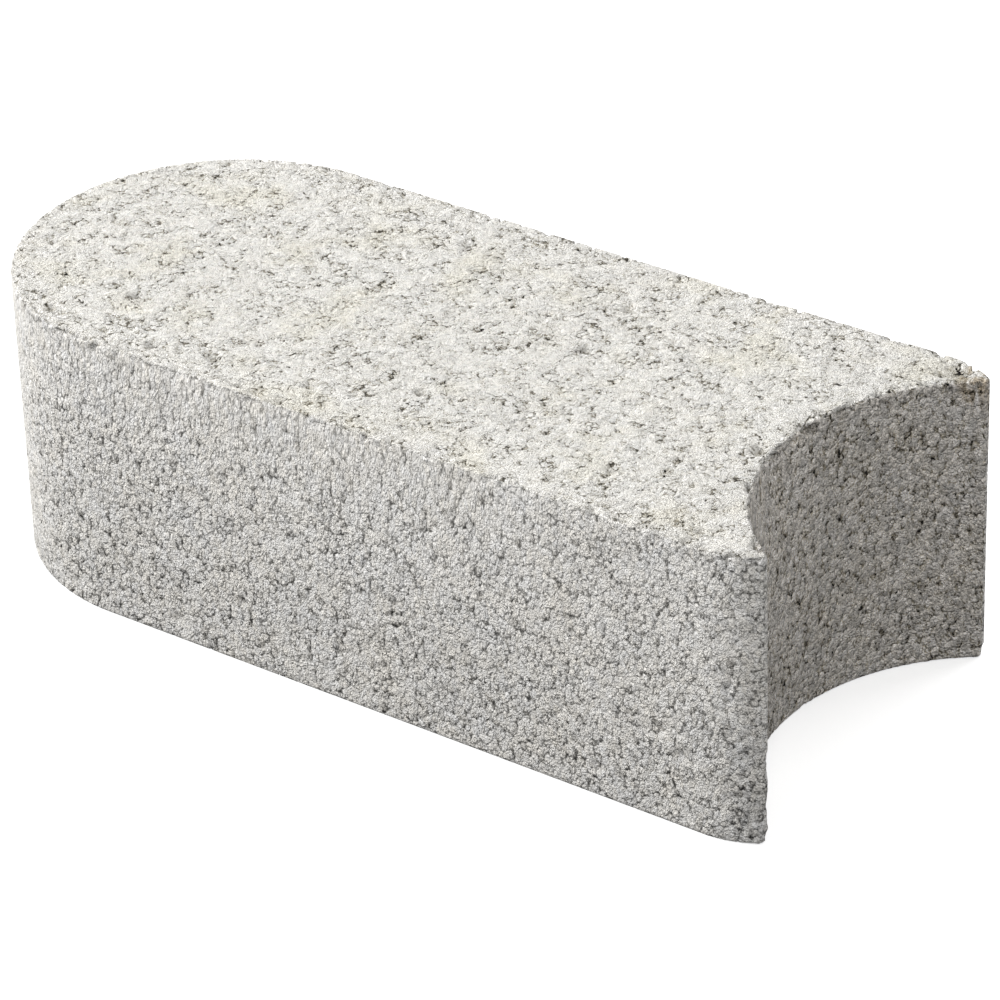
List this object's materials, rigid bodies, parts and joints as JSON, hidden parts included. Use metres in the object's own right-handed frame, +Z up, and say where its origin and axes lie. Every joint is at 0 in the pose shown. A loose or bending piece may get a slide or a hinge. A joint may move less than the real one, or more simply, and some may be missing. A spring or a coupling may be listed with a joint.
{
  "type": "concrete paving brick",
  "caption": "Edging paver of pale grey concrete, half-round at one end and hollowed at the other, so that each nose stands in the next hollow.",
  "frame": {"origin": "on the bed, under the middle of the block's length and width", "axes": "+X along the block from the nose to the hollow, +Y across it, +Z up from the bed"},
  "size_m": [0.23, 0.1, 0.0725],
  "materials": {
    "concrete": "rough, open-grained dry-cast concrete"
  },
  "bodies": {
    "root": {"paving_block": "concrete"}
  },
  "joints": []
}
